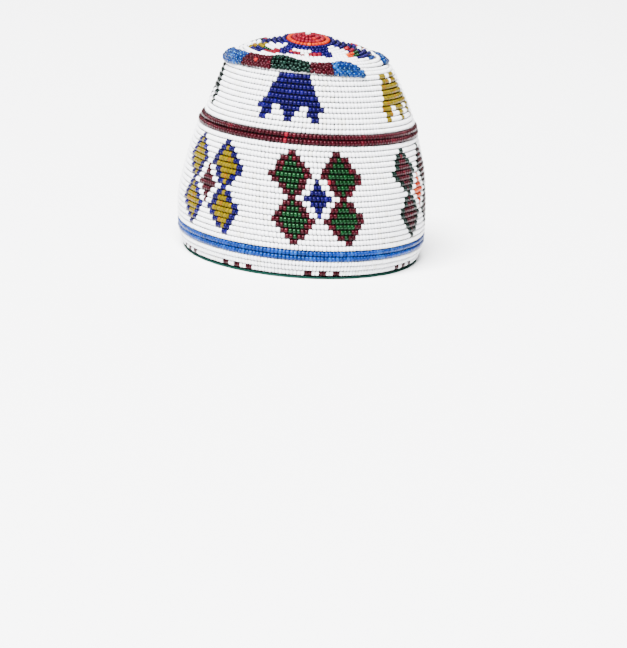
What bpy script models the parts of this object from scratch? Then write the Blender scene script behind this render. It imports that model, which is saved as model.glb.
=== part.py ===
"""Beaded hat: a tall oval cap of strung glass beads, hollow and open below.

Metres, +Z up, front towards -Y. The origin is the middle of the rim, on the surface that it rests on.
"""

import math
from collections import namedtuple

import bmesh
import bpy
from mathutils import Vector

# Beads, and the gap between neighbouring pieces
BEAD_DIAMETER = 0.0033
GAP = 0.0003

# The hat seen from above: front-to-back length over width, at the rim and at the top of the wall
RIM_OVAL = 1.15
TOP_OVAL = 1.04

# Cloth edging under the lowest beads
BINDING_HEIGHT = 0.0014
BINDING_WIDTH = 0.0028
BINDING_INSET = 0.0003

# The outside of the wall from the hem up, at numbers of bead rows above the hem
Section = namedtuple("Section", "row height half_width sway")
SECTIONS = (
    Section(row=0, height=0.0017, half_width=0.0776, sway=0.0008),
    Section(row=3, height=0.0116, half_width=0.0812, sway=0.0006),
    Section(row=5, height=0.0184, half_width=0.0816, sway=0.0003),
    Section(row=10, height=0.0354, half_width=0.0816, sway=-0.0003),
    Section(row=17, height=0.0593, half_width=0.0781, sway=0.0004),
    Section(row=24, height=0.0826, half_width=0.0717, sway=0.0004),
    Section(row=26, height=0.0892, half_width=0.0691, sway=0.0010),
    Section(row=31, height=0.1050, half_width=0.0627, sway=0.0004),
    Section(row=37, height=0.1240, half_width=0.0546, sway=-0.0014),
)

# Rings of the wall, each a solid of its own; proud is how far its beads stand out
Band = namedtuple("Band", "name first_row last_row steps proud colour")
BANDS = (
    Band("hem_band", 0, 3, 2, 0.0, (0.86, 0.86, 0.88)),
    Band("blue_band", 3, 5, 1, 0.0, (0.06, 0.27, 0.75)),
    Band("lower_wall", 5, 24, 8, 0.0, (0.88, 0.88, 0.90)),
    Band("maroon_band", 24, 26, 1, 0.0007, (0.16, 0.01, 0.03)),
    Band("upper_wall", 26, 37, 5, 0.0, (0.88, 0.88, 0.90)),
)

# The crown's outside from its middle to its edge; it leans forward in the middle and is full at the sides
CROWN_HALF_WIDTH = 0.0500
CROWN_MIDDLE_SWAY = -0.0038
CROWN_EDGE_SWAY = -0.0020
CrownRing = namedtuple("CrownRing", "share side_height front_height back_height")
CROWN = (
    CrownRing(share=0.00, side_height=0.1436, front_height=0.1436, back_height=0.1436),
    CrownRing(share=0.13, side_height=0.1418, front_height=0.1407, back_height=0.1429),
    CrownRing(share=0.28, side_height=0.1398, front_height=0.1374, back_height=0.1418),
    CrownRing(share=0.46, side_height=0.1382, front_height=0.1343, back_height=0.1392),
    CrownRing(share=0.60, side_height=0.1367, front_height=0.1324, back_height=0.1368),
    CrownRing(share=0.77, side_height=0.1343, front_height=0.1314, back_height=0.1336),
    CrownRing(share=0.92, side_height=0.1303, front_height=0.1304, back_height=0.1299),
    CrownRing(share=1.00, side_height=0.1266, front_height=0.1288, back_height=0.1270),
)
CROWN_SHARES = (1.00, 0.92, 0.81, 0.69, 0.55, 0.41, 0.28, 0.20, 0.12, 0.045)
SHOULDER_BULGE = 0.0007

# Padded crescents of beads over the crown's edge: at angles round the hat, where each one begins and ends
# along the way up the hat, counted from that edge, and how thick it is
LeafSection = namedtuple("LeafSection", "angle low high thickness")
FRONT_LEAF = (
    LeafSection(angle=-100, low=-0.0030, high=0.0012, thickness=0.0020),
    LeafSection(angle=-85, low=-0.0060, high=0.0030, thickness=0.0030),
    LeafSection(angle=-69, low=-0.0065, high=0.0038, thickness=0.0032),
    LeafSection(angle=-47, low=-0.0058, high=0.0038, thickness=0.0030),
    LeafSection(angle=-32, low=-0.0059, high=0.0040, thickness=0.0032),
    LeafSection(angle=-21, low=-0.0055, high=0.0060, thickness=0.0044),
    LeafSection(angle=-12, low=-0.0056, high=0.0042, thickness=0.0038),
    LeafSection(angle=-2, low=-0.0063, high=0.0018, thickness=0.0029),
    LeafSection(angle=12, low=-0.0071, high=0.0010, thickness=0.0027),
    LeafSection(angle=27, low=-0.0077, high=0.0034, thickness=0.0032),
    LeafSection(angle=34, low=-0.0080, high=0.0014, thickness=0.0030),
    LeafSection(angle=38, low=-0.0082, high=-0.0040, thickness=0.0024),
    LeafSection(angle=40, low=-0.0083, high=-0.0068, thickness=0.0016),
)
RIGHT_LEAF = (
    LeafSection(angle=80, low=0.0008, high=0.0034, thickness=0.0012),
    LeafSection(angle=88, low=-0.0004, high=0.0050, thickness=0.0022),
    LeafSection(angle=110, low=-0.0032, high=0.0052, thickness=0.0029),
    LeafSection(angle=135, low=-0.0052, high=0.0044, thickness=0.0030),
    LeafSection(angle=150, low=-0.0036, high=0.0026, thickness=0.0026),
    LeafSection(angle=158, low=-0.0012, high=0.0010, thickness=0.0014),
)
LEFT_LEAF = (
    LeafSection(angle=176, low=-0.0012, high=0.0010, thickness=0.0014),
    LeafSection(angle=186, low=-0.0044, high=0.0032, thickness=0.0027),
    LeafSection(angle=205, low=-0.0062, high=0.0044, thickness=0.0030),
    LeafSection(angle=224, low=-0.0052, high=0.0038, thickness=0.0030),
    LeafSection(angle=238, low=-0.0028, high=0.0022, thickness=0.0024),
    LeafSection(angle=245, low=-0.0008, high=0.0008, thickness=0.0014),
)
Leaf = namedtuple("Leaf", "name sections")
LEAVES = (
    Leaf("crown_leaf_front", FRONT_LEAF),
    Leaf("crown_leaf_right", RIGHT_LEAF),
    Leaf("crown_leaf_left", LEFT_LEAF),
)
LEAF_STEPS = 3
LEAF_ACROSS = (0.0, 0.1, 0.28, 0.5, 0.72, 0.9, 1.0)
LEAF_UNDERSIDE_STEPS = 12
LEAF_EDGE_SHARE = 0.25

CENTRE_BEAD_DIAMETER = 0.0036
CENTRE_BEAD_SINK = 0.0008

SEGMENTS = 60
SHARP_ANGLE = math.radians(40)


def clear_scene():
    for item in list(bpy.data.objects):
        bpy.data.objects.remove(item, do_unlink=True)


def smooth_column(table, key, column, at):
    """Value of a table's column at a key, on a smooth curve through its rows."""
    keys = [getattr(row, key) for row in table]
    values = [getattr(row, column) for row in table]
    if at <= keys[0]:
        return values[0]
    if at >= keys[-1]:
        return values[-1]
    last = len(keys) - 1
    i = max(n for n in range(last) if keys[n] <= at)

    def slope(n):
        before, after = max(n - 1, 0), min(n + 1, last)
        return (values[after] - values[before]) / (keys[after] - keys[before])

    span = keys[i + 1] - keys[i]
    t = (at - keys[i]) / span
    rise = values[i + 1] - values[i]
    bend_in = slope(i) * span - rise
    bend_out = rise - slope(i + 1) * span
    return values[i] + t * rise + t * (1 - t) * ((1 - t) * bend_in + t * bend_out)


def oval_point(half_width, oval, sway, height, angle):
    """Point of an oval ring; angle 0 is the front and 90 degrees is +X."""
    return Vector((sway + half_width * math.sin(angle), -half_width * oval * math.cos(angle), height))


def wall_point(row, angle, inset=0.0, lift=0.0):
    """Point of the wall's outside at a number of bead rows above the hem."""
    half_width = smooth_column(SECTIONS, "row", "half_width", row)
    oval = RIM_OVAL + (TOP_OVAL - RIM_OVAL) * row / SECTIONS[-1].row
    ring_oval = (half_width * oval - inset) / (half_width - inset)
    sway = smooth_column(SECTIONS, "row", "sway", row)
    height = smooth_column(SECTIONS, "row", "height", row)
    return oval_point(half_width - inset, ring_oval, sway, height + lift, angle)


def crown_point(share, angle):
    """Point of the crown's outside at a share of the way from its middle to its edge."""
    side = smooth_column(CROWN, "share", "side_height", share)
    front = smooth_column(CROWN, "share", "front_height", share)
    back = smooth_column(CROWN, "share", "back_height", share)
    lean = (front - back) / 2 * math.cos(angle)
    bend = ((front + back) / 2 - side) * math.cos(angle) ** 2
    height = side + lean + bend
    sway = CROWN_MIDDLE_SWAY + (CROWN_EDGE_SWAY - CROWN_MIDDLE_SWAY) * share
    oval = 1.0 + (TOP_OVAL - 1.0) * share
    return oval_point(CROWN_HALF_WIDTH * share, oval, sway, height, angle)


def make_material(name, colour, roughness=0.25):
    material = bpy.data.materials.new(name)
    material.use_nodes = True
    shader = material.node_tree.nodes["Principled BSDF"]
    shader.inputs["Base Color"].default_value = (*colour, 1.0)
    shader.inputs["Roughness"].default_value = roughness
    shader.inputs["Metallic"].default_value = 0.0
    return material


def finish_object(name, form, collection, colour, roughness=0.25):
    """Turn a bmesh into a named object with its own material."""
    bmesh.ops.recalc_face_normals(form, faces=form.faces)
    mesh = bpy.data.meshes.new(name)
    form.to_mesh(mesh)
    form.free()
    mesh.shade_smooth()
    mesh.set_sharp_from_angle(angle=SHARP_ANGLE)
    mesh.materials.append(make_material(name + "_finish", colour, roughness))
    item = bpy.data.objects.new(name, mesh)
    collection.objects.link(item)
    return item


def add_loop(form, points):
    return [form.verts.new(point) for point in points]


def join_loops(form, first, second):
    count = len(first)
    for i in range(count):
        j = (i + 1) % count
        form.faces.new((first[i], first[j], second[j], second[i]))


def loft_ring(rings):
    """Closed ring of rings: the last one is joined to the first."""
    form = bmesh.new()
    loops = [add_loop(form, points) for points in rings]
    for first, second in zip(loops, loops[1:] + loops[:1]):
        join_loops(form, first, second)
    return form


def around():
    return [2 * math.pi * i / SEGMENTS for i in range(SEGMENTS)]


def build_binding(collection):
    """Flat cloth edging that the hat rests on."""
    corners = (
        (BINDING_INSET, 0.0),
        (BINDING_INSET, BINDING_HEIGHT),
        (BINDING_INSET + BINDING_WIDTH, BINDING_HEIGHT),
        (BINDING_INSET + BINDING_WIDTH, 0.0),
    )
    rings = []
    for inset, height in corners:
        lift = height - SECTIONS[0].height
        rings.append([wall_point(0, angle, inset, lift) for angle in around()])
    finish_object("hem_binding", loft_ring(rings), collection, (0.01, 0.06, 0.045), 0.8)


def build_band(band, collection):
    """Ring of the wall, one bead thick, with level ends."""
    rings = []
    rows = [band.first_row + (band.last_row - band.first_row) * i / band.steps for i in range(band.steps + 1)]
    lifts = [0.0] * len(rows)
    lifts[0] = GAP / 2
    lifts[-1] = -GAP / 2
    for row, lift in zip(rows, lifts):
        rings.append([wall_point(row, angle, -band.proud, lift) for angle in around()])
    for row, lift in zip(reversed(rows), reversed(lifts)):
        rings.append([wall_point(row, angle, BEAD_DIAMETER, lift) for angle in around()])
    finish_object(band.name, loft_ring(rings), collection, band.colour)


def outward(path, i, angle):
    """Direction square to the hat's outside at a point of a path up the hat."""
    before, after = path[max(i - 1, 0)], path[min(i + 1, len(path) - 1)]
    flat = Vector((math.sin(angle) * TOP_OVAL, -math.cos(angle), 0.0)).normalized()
    run = (after - before).dot(flat)
    rise = after.z - before.z
    return (flat * rise - Vector((0.0, 0.0, run))).normalized()


def shoulder_path(angle, shares, lift=0.0):
    """Points from the top of the wall over its round shoulder and along the crown."""
    wall_top = wall_point(SECTIONS[-1].row, angle, 0.0, lift)
    crown = [crown_point(share, angle) for share in shares]
    shoulder = wall_top.lerp(crown[0], 0.5)
    shoulder += outward([wall_top, crown[0]], 0, angle) * SHOULDER_BULGE
    return [wall_top, shoulder] + crown


def build_crown(collection):
    """Domed crown and its rounded shoulder, a shell one bead thick with a hole for the centre bead."""
    outer_paths, inner_paths = [], []
    for angle in around():
        path = shoulder_path(angle, CROWN_SHARES, GAP / 2)
        inner = [point - outward(path, i, angle) * BEAD_DIAMETER for i, point in enumerate(path)]
        inner[0] = wall_point(SECTIONS[-1].row, angle, BEAD_DIAMETER, GAP / 2)
        for point in inner:
            point.z = max(point.z, inner[0].z)
        outer_paths.append(path)
        inner_paths.append(inner)
    rings = list(zip(*outer_paths)) + list(zip(*inner_paths))[::-1]
    finish_object("crown_top", loft_ring(rings), collection, (0.55, 0.05, 0.06))


def leaf_outline(leaf, angle_degrees):
    """Closed outline of a leaf across the crown's edge: its outside, then its underside."""
    angle = math.radians(angle_degrees)
    wall = [wall_point(SECTIONS[-1].row - back, angle) for back in (3, 2, 1)]
    path = wall + shoulder_path(angle, (1.0, 0.96, 0.92, 0.87, 0.81, 0.75))
    normals = [outward(path, i, angle) for i in range(len(path))]
    lengths = [0.0]
    for first, second in zip(path, path[1:]):
        lengths.append(lengths[-1] + (second - first).length)
    edge = lengths[len(wall) + 1]
    low = edge + smooth_column(leaf.sections, "angle", "low", angle_degrees)
    high = edge + smooth_column(leaf.sections, "angle", "high", angle_degrees)
    thickness = smooth_column(leaf.sections, "angle", "thickness", angle_degrees)

    def raised(across, height):
        distance = low + (high - low) * across
        i = max(n for n in range(len(path) - 1) if lengths[n] <= distance)
        t = (distance - lengths[i]) / (lengths[i + 1] - lengths[i])
        return path[i].lerp(path[i + 1], t) + normals[i].lerp(normals[i + 1], t).normalized() * height

    outside = []
    for across in LEAF_ACROSS:
        round_share = math.sqrt(1 - (1 - LEAF_EDGE_SHARE ** 2) * (2 * across - 1) ** 2)
        outside.append(raised(across, GAP + thickness * round_share))
    steps = LEAF_UNDERSIDE_STEPS
    underside = [raised(1 - i / steps, GAP) for i in range(steps + 1)]
    return outside + underside


def build_leaf(leaf, collection):
    """Crescent that swells between two narrow tips and lies over the crown's edge."""
    form = bmesh.new()
    angles = [leaf.sections[0].angle]
    for first, second in zip(leaf.sections, leaf.sections[1:]):
        angles += [first.angle + (second.angle - first.angle) * i / LEAF_STEPS for i in range(1, LEAF_STEPS + 1)]
    loops = [add_loop(form, leaf_outline(leaf, angle)) for angle in angles]
    for first, second in zip(loops, loops[1:]):
        join_loops(form, first, second)
    form.faces.new(loops[0])
    form.faces.new(loops[-1])
    finish_object(leaf.name, form, collection, (0.02, 0.12, 0.08))


def build_centre_bead(collection):
    """Round bead in the hole at the crown's middle."""
    form = bmesh.new()
    bmesh.ops.create_uvsphere(form, u_segments=12, v_segments=8, radius=CENTRE_BEAD_DIAMETER / 2)
    middle = crown_point(0.0, 0.0) - Vector((0.0, 0.0, CENTRE_BEAD_SINK))
    bmesh.ops.translate(form, verts=form.verts, vec=middle)
    finish_object("centre_bead", form, collection, (0.9, 0.9, 0.92))


def main():
    clear_scene()
    collection = bpy.data.collections.new("beaded_hat")
    bpy.context.scene.collection.children.link(collection)
    build_binding(collection)
    for band in BANDS:
        build_band(band, collection)
    build_crown(collection)
    for leaf in LEAVES:
        build_leaf(leaf, collection)
    build_centre_bead(collection)


main()
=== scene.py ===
import math
from collections import namedtuple

import bmesh
import bpy
import numpy as np
from bpy.props import FloatProperty, FloatVectorProperty, IntProperty, PointerProperty
from mathutils import Matrix, Vector


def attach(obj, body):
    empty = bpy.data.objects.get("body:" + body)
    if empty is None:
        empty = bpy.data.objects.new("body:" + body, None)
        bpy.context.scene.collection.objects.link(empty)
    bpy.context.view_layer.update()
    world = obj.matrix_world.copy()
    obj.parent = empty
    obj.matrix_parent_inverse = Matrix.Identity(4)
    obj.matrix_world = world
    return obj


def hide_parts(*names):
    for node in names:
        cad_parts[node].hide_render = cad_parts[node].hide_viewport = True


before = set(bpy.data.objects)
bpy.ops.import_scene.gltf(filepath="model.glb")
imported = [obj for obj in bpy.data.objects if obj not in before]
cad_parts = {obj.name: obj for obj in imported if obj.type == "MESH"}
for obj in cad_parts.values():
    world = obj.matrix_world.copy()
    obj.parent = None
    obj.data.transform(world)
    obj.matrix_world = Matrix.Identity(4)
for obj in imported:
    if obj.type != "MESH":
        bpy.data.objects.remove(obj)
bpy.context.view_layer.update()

bl_info = {
    "name": "Beaded Hat",
    "version": (1, 0, 0),
    "blender": (4, 5, 0),
    "location": "3D View > Sidebar > Beaded Hat",
    "description": "Strings glass beads row by row over the solids of a tall oval hat",
    "category": "Mesh",
}

BODY = "root"

# First number of the random draws that make the beads uneven
SEED = 41

# Beads of the solids, and the gap between neighbouring solids
BEAD_DIAMETER = 0.0033
GAP = 0.0003

# Outline of half a bead of unit size: how far along its thread and how far from it each point lies
BEAD_RIMS = ((0.5, 0.25), (0.42, 0.43), (0.24, 0.496))

# How far a bead strays along, out of and across its row, how far it tilts out and across, how much shorter,
# longer, thinner or thicker it may be, and the unevenness past which its size varies no more
Stray = namedtuple("Stray", "along out across tilt_out tilt_across shorter longer width most")
STRAY = Stray(0.5, 0.3, 0.25, 0.8, 0.9, 1.0, 0.3, 0.5, 0.12)

# The hat seen from above: front-to-back length over width, at the rim and at the top of the wall
RIM_OVAL = 1.15
TOP_OVAL = 1.04

# The outside of the wall from the hem up, at numbers of bead rows above the hem
Section = namedtuple("Section", "row height half_width sway")
SECTIONS = (
    Section(row=0, height=0.0017, half_width=0.0776, sway=0.0008),
    Section(row=3, height=0.0116, half_width=0.0812, sway=0.0006),
    Section(row=5, height=0.0184, half_width=0.0816, sway=0.0003),
    Section(row=10, height=0.0354, half_width=0.0816, sway=-0.0003),
    Section(row=17, height=0.0593, half_width=0.0781, sway=0.0004),
    Section(row=24, height=0.0826, half_width=0.0717, sway=0.0004),
    Section(row=26, height=0.0892, half_width=0.0691, sway=0.0010),
    Section(row=31, height=0.1050, half_width=0.0627, sway=0.0004),
    Section(row=37, height=0.1240, half_width=0.0546, sway=-0.0014),
)
WALL_ROWS = 37

# The crown's outside from its middle to its edge; the shoulder between it and the wall bulges a little
CROWN_HALF_WIDTH = 0.0500
CROWN_MIDDLE_SWAY = -0.0038
CROWN_EDGE_SWAY = -0.0020
SHOULDER_BULGE = 0.0007
CrownRing = namedtuple("CrownRing", "share side_height front_height back_height")
CROWN = (
    CrownRing(share=0.00, side_height=0.1436, front_height=0.1436, back_height=0.1436),
    CrownRing(share=0.13, side_height=0.1418, front_height=0.1407, back_height=0.1429),
    CrownRing(share=0.28, side_height=0.1398, front_height=0.1374, back_height=0.1418),
    CrownRing(share=0.46, side_height=0.1382, front_height=0.1343, back_height=0.1392),
    CrownRing(share=0.60, side_height=0.1367, front_height=0.1324, back_height=0.1368),
    CrownRing(share=0.77, side_height=0.1343, front_height=0.1314, back_height=0.1336),
    CrownRing(share=0.92, side_height=0.1303, front_height=0.1304, back_height=0.1299),
    CrownRing(share=1.00, side_height=0.1266, front_height=0.1288, back_height=0.1270),
)

# Paths over the dome begin at a row of the wall, and the crown's edge comes two loops after the wall's top
CROWN_STEPS = 40
DOME_LOW_ROW = 33
WALL_TOP_LOOP = WALL_ROWS - DOME_LOW_ROW
CROWN_EDGE_LOOP = WALL_TOP_LOOP + 2

# Rings of beads on the crown: their number, the radius of the first, and the beads' size and unevenness
CROWN_RINGS = 17
FIRST_RING_RADIUS = 0.00345
CROWN_BEAD_DIAMETER = 0.00315
CROWN_BEAD_LENGTH = 0.0025
CROWN_WOBBLE = 1.6

# The single bead in the middle: its thickness, how deep it sits, its outline and its faces round
CENTRE_BEAD_DIAMETER = 0.0036
CENTRE_BEAD_SINK = 0.0008
CENTRE_BEAD_OUTLINE = (
    (-0.42, 0.14), (-0.47, 0.22), (-0.40, 0.36), (-0.2, 0.47), (0.0, 0.5),
    (0.2, 0.47), (0.40, 0.36), (0.47, 0.22), (0.42, 0.14),
)
CENTRE_BEAD_SIDES = 16

# Charts, one text per row from the lowest up; a dot is the ground
HEM_CHART = ("mm..mm..mm",)
BAND_CHART = ("r", "r")
DIAMOND_CHART = (
    "oo............oo",
    "ooaoo........ooaoo",
    "ooaaaoo......ooaaaoo",
    "ooaaaaaoo....ooaaaaaoo",
    "ooaaaaaaaoo..ooaaaaaaaoo",
    "ooaaaaaoo..b..ooaaaaaoo",
    "ooaaaoo..bb..ooaaaoo",
    "ooaoo..bbbb..ooaoo",
    "oo..bbbbbbb..oo",
    "ooaoo..bbbb..ooaoo",
    "ooaaaoo..bb..ooaaaoo",
    "ooaaaaaoo..b..soaaaaaoo",
    "ooaaaaaaaoo..ooaaaaaaaoo",
    "ooaaaaaoo...ooaaaaaoo",
    "ooaaaoo.....ooaaaoo",
    "ooaoo.......ooaoo",
    "oo.........oo",
)
FOOTED_CHART = (
    "aa.....aa.....aa",
    "aaa...aaa...aaa",
    "aaaa..aaaaa..aaaa",
    "aaaaaaaaaaaaaaa",
    "aaaaaaaaaaaaa",
    "aaaaaaaaaaaa",
    "aaaaaaaaaaa",
    "aaaaaaaaa",
    "aaaaaaaa",
)
FORKED_CHART = FOOTED_CHART[:7] + ("aaaa.aaaa", "aaa..aaaa")

# Where a motif's lowest row stands, in degrees from the front towards the wearer's left, how far it moves
# that way in each row up, its lowest row, its chart and the glass of its letters
Motif = namedtuple("Motif", "angle lean first_row chart glass")
GREEN_DIAMONDS = {"o": "maroon", "a": "green", "b": "indigo", "s": "red"}
YELLOW_DIAMONDS = {"o": "indigo", "a": "yellow", "b": "maroon", "s": "indigo"}
MAROON_DIAMONDS = {"o": "dark_green", "a": "maroon", "b": "orange", "s": "dark_green"}
DIAMOND_MOTIFS = (
    Motif(-47.2, -0.37, 7, DIAMOND_CHART, YELLOW_DIAMONDS),
    Motif(10.6, -0.38, 7, DIAMOND_CHART, GREEN_DIAMONDS),
    Motif(73.6, -0.45, 7, DIAMOND_CHART, MAROON_DIAMONDS),
    Motif(133.2, -0.40, 7, DIAMOND_CHART, YELLOW_DIAMONDS),
    Motif(193.2, -0.40, 7, DIAMOND_CHART, GREEN_DIAMONDS),
    Motif(253.2, -0.40, 7, DIAMOND_CHART, MAROON_DIAMONDS),
)
BAND_MOTIFS = (Motif(-10.9, 0.0, 25, BAND_CHART, {"r": "red"}),)
FOOTED_MOTIFS = (
    Motif(-88.0, 0.0, 29, FOOTED_CHART, {"a": "dark_green"}),
    Motif(-11.5, 0.27, 29, FOOTED_CHART, {"a": "indigo"}),
    Motif(66.5, 0.0, 29, FORKED_CHART, {"a": "yellow"}),
    Motif(135.0, 0.0, 29, FOOTED_CHART, {"a": "green"}),
    Motif(203.5, 0.0, 29, FOOTED_CHART, {"a": "maroon"}),
)
HEM_ANGLES = (-64.7, -29.7, 11.8, 59.6, 98.0, 138.0, 178.0, 218.0, 257.0)
HEM_MOTIFS = tuple(Motif(angle, 0.0, 1, HEM_CHART, {"m": "maroon"}) for angle in HEM_ANGLES)

# Zones of the wall: the solid that each one stands for, its rows, its ground and motifs, the length of its
# beads, their thickness over the usual one and how far they stand out
Zone = namedtuple("Zone", "name node first_row last_row ground motifs bead_length swell proud")
ZONES = (
    Zone("hem_band", "hem_band", 1, 3, "white", HEM_MOTIFS, 0.00223, 1.0, 0.0),
    Zone("blue_band", "blue_band", 4, 5, "blue", HEM_MOTIFS, 0.0025, 1.0, 0.0),
    Zone("lower_wall_foot", "lower_wall", 6, 12, "white", DIAMOND_MOTIFS, 0.0025, 1.0, 0.0),
    Zone("lower_wall_waist", "lower_wall", 13, 18, "white", DIAMOND_MOTIFS, 0.0025, 1.01, 0.0),
    Zone("lower_wall_top", "lower_wall", 19, 24, "white", DIAMOND_MOTIFS, 0.0025, 1.01, 0.0),
    Zone("maroon_band", "maroon_band", 25, 26, "maroon", BAND_MOTIFS, 0.0025, 1.07, 0.0007),
    Zone("upper_wall", "upper_wall", 27, 37, "white", FOOTED_MOTIFS, 0.0025, 1.0, 0.0),
)

# Rosette: the ground of the crown's rings from the middle out, and the charts of its fans from their first
# ring out; a bar marks the bead joint that stands at the fan's angle
RING_GROUNDS = ("red",) * 3 + ("orange",) + ("indigo",) * 5 + ("white",) * 8
PETAL_RING = 6
ROSETTE_GLASS = {
    "w": "white", "r": "red", "o": "orange", "y": "yellow", "g": "green", "i": "indigo", "t": "turquoise",
}
LEFT_FAN = (
    "|w",
    "w|ww",
    "ww|www",
    "yyw|wwwrr",
    "yyy|ygggrrr",
    "yyy|iiiirrrr",
    "yy|iiiiii",
    "|www",
)
FRONT_FAN = (
    "",
    "www|ww",
    "rrrw|wrrr",
    "rrr|wrrr",
    "iiwwwww|wwwwwii",
)
RIGHT_FAN = (
    "w|w",
    "www|w",
    "wwww|wrrr",
    "wwwww|irrr",
    "ooo|gggii",
    "ooggg|iiiiiiii",
    "iiii|iiiiitt",
    "tt|tttt",
)
BACK_FAN = (
    "w|w",
    "www|ww",
    "www|www",
    "rrww|wwrr",
    "ooogg|ggggg",
    "ogggii|iiigg",
    "iiiii|iiiii",
    "tt|ttt",
)
ROSETTE = (
    Motif(-53.5, -3.0, PETAL_RING, LEFT_FAN, ROSETTE_GLASS),
    Motif(-7.0, 1.0, PETAL_RING, FRONT_FAN, ROSETTE_GLASS),
    Motif(50.0, 3.0, PETAL_RING, RIGHT_FAN, ROSETTE_GLASS),
    Motif(122.0, 0.0, PETAL_RING, BACK_FAN, ROSETTE_GLASS),
    Motif(183.0, 0.0, PETAL_RING, BACK_FAN, ROSETTE_GLASS),
    Motif(243.0, 0.0, PETAL_RING, BACK_FAN, ROSETTE_GLASS),
)

# Crescents of beads over the crown's edge: at angles round the hat, where each one begins and ends along
# the way up the hat, counted from that edge, and how thick it is
LeafSection = namedtuple("LeafSection", "angle low high thickness")
FRONT_LEAF = (
    LeafSection(angle=-100, low=-0.0030, high=0.0012, thickness=0.0020),
    LeafSection(angle=-85, low=-0.0060, high=0.0030, thickness=0.0030),
    LeafSection(angle=-69, low=-0.0065, high=0.0038, thickness=0.0032),
    LeafSection(angle=-47, low=-0.0058, high=0.0038, thickness=0.0030),
    LeafSection(angle=-32, low=-0.0059, high=0.0040, thickness=0.0032),
    LeafSection(angle=-21, low=-0.0055, high=0.0060, thickness=0.0044),
    LeafSection(angle=-12, low=-0.0056, high=0.0042, thickness=0.0038),
    LeafSection(angle=-2, low=-0.0063, high=0.0018, thickness=0.0029),
    LeafSection(angle=12, low=-0.0071, high=0.0010, thickness=0.0027),
    LeafSection(angle=27, low=-0.0077, high=0.0034, thickness=0.0032),
    LeafSection(angle=34, low=-0.0080, high=0.0014, thickness=0.0030),
    LeafSection(angle=38, low=-0.0082, high=-0.0040, thickness=0.0024),
    LeafSection(angle=40, low=-0.0083, high=-0.0068, thickness=0.0016),
)
RIGHT_LEAF = (
    LeafSection(angle=80, low=0.0008, high=0.0034, thickness=0.0012),
    LeafSection(angle=88, low=-0.0004, high=0.0050, thickness=0.0022),
    LeafSection(angle=110, low=-0.0032, high=0.0052, thickness=0.0029),
    LeafSection(angle=135, low=-0.0052, high=0.0044, thickness=0.0030),
    LeafSection(angle=150, low=-0.0036, high=0.0026, thickness=0.0026),
    LeafSection(angle=158, low=-0.0012, high=0.0010, thickness=0.0014),
)
LEFT_LEAF = (
    LeafSection(angle=176, low=-0.0012, high=0.0010, thickness=0.0014),
    LeafSection(angle=186, low=-0.0044, high=0.0032, thickness=0.0027),
    LeafSection(angle=205, low=-0.0062, high=0.0044, thickness=0.0030),
    LeafSection(angle=224, low=-0.0052, high=0.0038, thickness=0.0030),
    LeafSection(angle=238, low=-0.0028, high=0.0022, thickness=0.0024),
    LeafSection(angle=245, low=-0.0008, high=0.0008, thickness=0.0014),
)
LeafBlock = namedtuple("LeafBlock", "start end glass")
Leaf = namedtuple("Leaf", "name sections blocks")
LEAVES = (
    Leaf("crown_leaf_front", FRONT_LEAF, (
        LeafBlock(-100, -51, "turquoise"),
        LeafBlock(-51, -25.5, "maroon"),
        LeafBlock(-25.5, 1.5, "dark_green"),
        LeafBlock(1.5, 17, "maroon"),
        LeafBlock(17, 40, "turquoise"),
    )),
    Leaf("crown_leaf_right", RIGHT_LEAF, (
        LeafBlock(80, 122, "turquoise"),
        LeafBlock(122, 129, "maroon"),
        LeafBlock(129, 136, "dark_green"),
        LeafBlock(136, 143, "maroon"),
        LeafBlock(143, 158, "turquoise"),
    )),
    Leaf("crown_leaf_left", LEFT_LEAF, (
        LeafBlock(176, 192, "turquoise"),
        LeafBlock(192, 205, "maroon"),
        LeafBlock(205, 219, "dark_green"),
        LeafBlock(219, 231, "maroon"),
        LeafBlock(231, 245, "turquoise"),
    )),
)

# A crescent's thickness at its edges over that in its middle, how low its beads may lie, how far its second
# layer lies under the first, and how far its beads fill their places
LEAF_EDGE_SHARE = 0.25
LEAF_LOWEST_MIDDLE = 0.0009
LEAF_UNDER_LAYER = 0.0014
LEAF_BEAD_SWELL = 1.06

# Samples along a block of a crescent, and across it
LEAF_LINE_SAMPLES = 80
LEAF_ARC_SAMPLES = 41

# A patch of other beads in a crescent: its angles, and where it begins and ends across the crescent
Patch = namedtuple("Patch", "start end inner outer glass")
LEAF_PATCH = Patch(start=-38.6, end=-36.4, inner=0.35, outer=0.6, glass="red")

# How far apart the beads of the crescents lie along and across them, by their glass, and how unevenly
LeafBead = namedtuple("LeafBead", "length spacing wobble")
LEAF_BEADS = {
    "turquoise": LeafBead(0.0029, 0.0033, 3.0),
    "maroon": LeafBead(0.0024, 0.0028, 4.0),
    "dark_green": LeafBead(0.0024, 0.0028, 4.0),
}

# Cloth edging under the lowest beads
BINDING_HEIGHT = 0.0014
BINDING_WIDTH = 0.0028
BINDING_INSET = 0.0003
BINDING_ROUNDING = 0.42
BINDING_SEGMENTS = 216
CLOTH_THREADS_ROUND = 1100
CLOTH_THREAD_PITCH = 0.0005

# Waves of the edging, as waves in one round, their size and where they start: inwards, then upwards
Wave = namedtuple("Wave", "count size start")
BINDING_WAVES = (Wave(37, 0.00012, 0.0), Wave(61, 0.00008, 1.0))
BINDING_LIFT = Wave(43, 0.00008, 0.0)

# How far outside the middle of the beads the thread that ties two rows passes between two beads, how far
# inside it the thread along the rows lies, and the faint shine of both
# The thread is near-black, so where it shows between beads it is painted shade in the gaps
STITCH_OUT = 0.0004
THREAD_IN = 0.0005
THREAD_SHINE = 0.04

# A stitch's faces round and how far it bows out over its thickness, and the steps of a thread along a row
STITCH_SIDES = 3
STITCH_BOW = 1.2
THREAD_STEP = 0.0065
FEWEST_THREAD_STEPS = 24

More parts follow.
